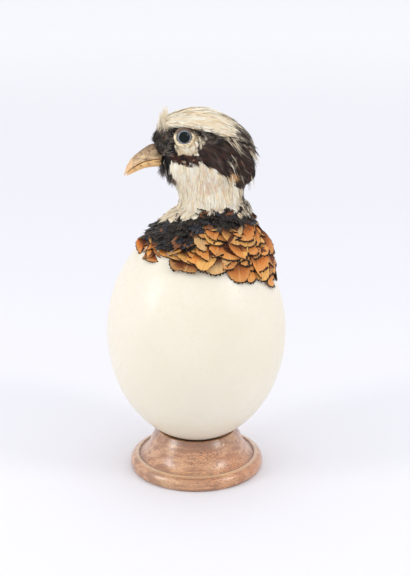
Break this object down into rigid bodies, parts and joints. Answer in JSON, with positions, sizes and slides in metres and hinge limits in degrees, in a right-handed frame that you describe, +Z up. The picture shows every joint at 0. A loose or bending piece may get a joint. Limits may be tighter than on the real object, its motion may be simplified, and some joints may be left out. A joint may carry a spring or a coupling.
{
  "type": "ostrich egg with mounted bird head",
  "caption": "Ornamental ostrich egg on a turned wooden stand, with a mounted hen's head and feathered neck rising from its top.",
  "frame": {"origin": "centre of the stand's flat underside, under the egg's axis", "axes": "+Z up along the egg's long axis, -X the way the bird looks, the bird's left side towards -Y"},
  "size_m": [0.13, 0.13, 0.269],
  "materials": {
    "turned_wood": "open-pored turned hardwood, lightly waxed, satin",
    "eggshell": "smooth ivory eggshell with fine pores, satin gloss",
    "plumage_cream": "soft cream feathers",
    "plumage_black": "black feathers with a slight sheen",
    "plumage_dark": "dark brown feathers with a slight sheen",
    "plumage_rust": "rust and gold feathers laced with black",
    "horn": "dry grey-beige beak horn, semi-gloss",
    "horn_pale": "dry amber beak horn, semi-gloss",
    "eye_glass": "polished taxidermy glass eye, painted behind, opaque"
  },
  "bodies": {
    "root": {"stand": "turned_wood", "egg": "eggshell", "head_and_neck": "plumage_cream", "upper_beak": "horn", "lower_beak": "horn_pale", "eye_left": "eye_glass", "eye_right": "eye_glass", "crown_feathers": "plumage_cream", "ear_feathers_left": "plumage_dark", "ear_feathers_right": "plumage_dark", "chin_feathers": "plumage_black", "ruff_feathers": "plumage_black", "cape_feathers": "plumage_rust"}
  },
  "joints": []
}
